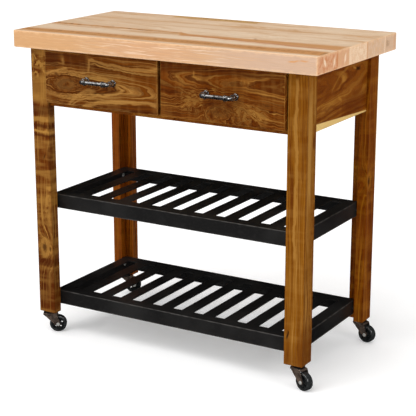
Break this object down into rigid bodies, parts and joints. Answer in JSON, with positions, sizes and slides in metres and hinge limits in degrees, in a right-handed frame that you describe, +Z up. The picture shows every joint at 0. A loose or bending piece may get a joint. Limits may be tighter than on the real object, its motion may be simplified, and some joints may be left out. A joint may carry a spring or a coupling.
{
  "type": "kitchen island",
  "caption": "Rolling kitchen island: a glued block worktop on four corner posts, drawers on ball slides, slatted steel shelves and swivelling casters.",
  "frame": {"origin": "floor level, under the middle of the overall box", "axes": "+Z up, drawers open towards -Y, +X to the right as seen from the drawers"},
  "size_m": [0.958, 0.53, 0.914],
  "materials": {
    "maple_block": "oiled end and edge grain maple",
    "stained_wood": "satin stain with knots",
    "inner_wood": "clear sealed birch",
    "black_steel": "semi-gloss powder coat",
    "pewter": "antique pewter plate, worn bright on the edges",
    "fork_bronze": "antique bronze lacquer",
    "race_black": "black oxide",
    "wheel_black": "moulded, glossy",
    "tread_grey": "smooth moulded tread",
    "zinc_steel": "bright zinc plate"
  },
  "bodies": {
    "cart": {"butcher_block_top": "maple_block", "top_fixing_blocks": "inner_wood", "top_fixing_screws": "zinc_steel", "leg_front_left": "stained_wood", "leg_front_right": "stained_wood", "leg_back_left": "stained_wood", "leg_back_right": "stained_wood", "side_apron_left": "stained_wood", "side_apron_right": "stained_wood", "back_apron": "stained_wood", "front_lower_rail": "stained_wood", "front_upper_rail": "inner_wood", "drawer_divider": "stained_wood", "centre_runner_beam": "inner_wood", "side_runner_battens": "inner_wood", "cabinet_slides": "zinc_steel", "middle_shelf_frame": "black_steel", "middle_shelf_slats": "black_steel", "lower_shelf_frame": "black_steel", "lower_shelf_slats": "black_steel", "shelf_screws": "zinc_steel", "shelf_spacers": "wheel_black", "caster_sockets": "zinc_steel", "caster_stems": "race_black"},
    "left_drawer": {"left_drawer_front": "stained_wood", "left_drawer_box_front": "inner_wood", "left_drawer_box_back": "inner_wood", "left_drawer_box_sides": "inner_wood", "left_drawer_bottom": "inner_wood", "left_drawer_slides": "zinc_steel", "left_pull_pipe": "pewter", "left_pull_elbows": "pewter", "left_pull_screws": "zinc_steel"},
    "left_cages": {"left_ball_cages": "zinc_steel"},
    "right_drawer": {"right_drawer_front": "stained_wood", "right_drawer_box_front": "inner_wood", "right_drawer_box_back": "inner_wood", "right_drawer_box_sides": "inner_wood", "right_drawer_bottom": "inner_wood", "right_drawer_slides": "zinc_steel", "right_pull_pipe": "pewter", "right_pull_elbows": "pewter", "right_pull_screws": "zinc_steel"},
    "right_cages": {"right_ball_cages": "zinc_steel"},
    "front_left_fork": {"caster_fork_front_left": "fork_bronze", "caster_axle_front_left": "zinc_steel"},
    "front_left_wheel": {"caster_wheel_front_left": "wheel_black", "caster_tread_front_left": "tread_grey"},
    "front_right_fork": {"caster_fork_front_right": "fork_bronze", "caster_axle_front_right": "zinc_steel"},
    "front_right_wheel": {"caster_wheel_front_right": "wheel_black", "caster_tread_front_right": "tread_grey"},
    "back_left_fork": {"caster_fork_back_left": "fork_bronze", "caster_axle_back_left": "zinc_steel"},
    "back_left_wheel": {"caster_wheel_back_left": "wheel_black", "caster_tread_back_left": "tread_grey"},
    "back_right_fork": {"caster_fork_back_right": "fork_bronze", "caster_axle_back_right": "zinc_steel"},
    "back_right_wheel": {"caster_wheel_back_right": "wheel_black", "caster_tread_back_right": "tread_grey"}
  },
  "joints": [
    {"name": "left_drawer_slide", "type": "slide", "parent": "cart", "child": "left_drawer", "axis": [0, -1, 0], "range_m": [0, 0.26]},
    {"name": "left_cage_slide", "type": "slide", "parent": "cart", "child": "left_cages", "axis": [0, -1, 0], "range_m": [0, 0.13]},
    {"name": "right_drawer_slide", "type": "slide", "parent": "cart", "child": "right_drawer", "axis": [0, -1, 0], "range_m": [0, 0.26]},
    {"name": "right_cage_slide", "type": "slide", "parent": "cart", "child": "right_cages", "axis": [0, -1, 0], "range_m": [0, 0.13]},
    {"name": "front_left_swivel", "type": "hinge", "parent": "cart", "child": "front_left_fork", "pos_m": [-0.419, -0.193, 0.06], "axis": [0, 0, 1], "continuous": true},
    {"name": "front_left_roll", "type": "hinge", "parent": "front_left_fork", "child": "front_left_wheel", "pos_m": [-0.39865, -0.18028, 0.0255], "axis": [-0.5299, 0.848, 0], "continuous": true},
    {"name": "front_right_swivel", "type": "hinge", "parent": "cart", "child": "front_right_fork", "pos_m": [0.419, -0.193, 0.06], "axis": [0, 0, 1], "continuous": true},
    {"name": "front_right_roll", "type": "hinge", "parent": "front_right_fork", "child": "front_right_wheel", "pos_m": [0.44155, -0.20121, 0.0255], "axis": [0.342, 0.9397, 0], "continuous": true},
    {"name": "back_left_swivel", "type": "hinge", "parent": "cart", "child": "back_left_fork", "pos_m": [-0.419, 0.215, 0.06], "axis": [0, 0, 1], "continuous": true},
    {"name": "back_left_roll", "type": "hinge", "parent": "back_left_fork", "child": "back_left_wheel", "pos_m": [-0.40325, 0.23311, 0.0255], "axis": [-0.7547, 0.6561, 0], "continuous": true},
    {"name": "back_right_swivel", "type": "hinge", "parent": "cart", "child": "back_right_fork", "pos_m": [0.419, 0.215, 0.06], "axis": [0, 0, 1], "continuous": true},
    {"name": "back_right_roll", "type": "hinge", "parent": "back_right_fork", "child": "back_right_wheel", "pos_m": [0.4427, 0.21125, 0.0255], "axis": [0.1564, 0.9877, 0], "continuous": true}
  ],
  "couplings": [
    {"joint": "left_cage_slide", "follows": "left_drawer_slide", "ratio": 0.5},
    {"joint": "right_cage_slide", "follows": "right_drawer_slide", "ratio": 0.5}
  ]
}
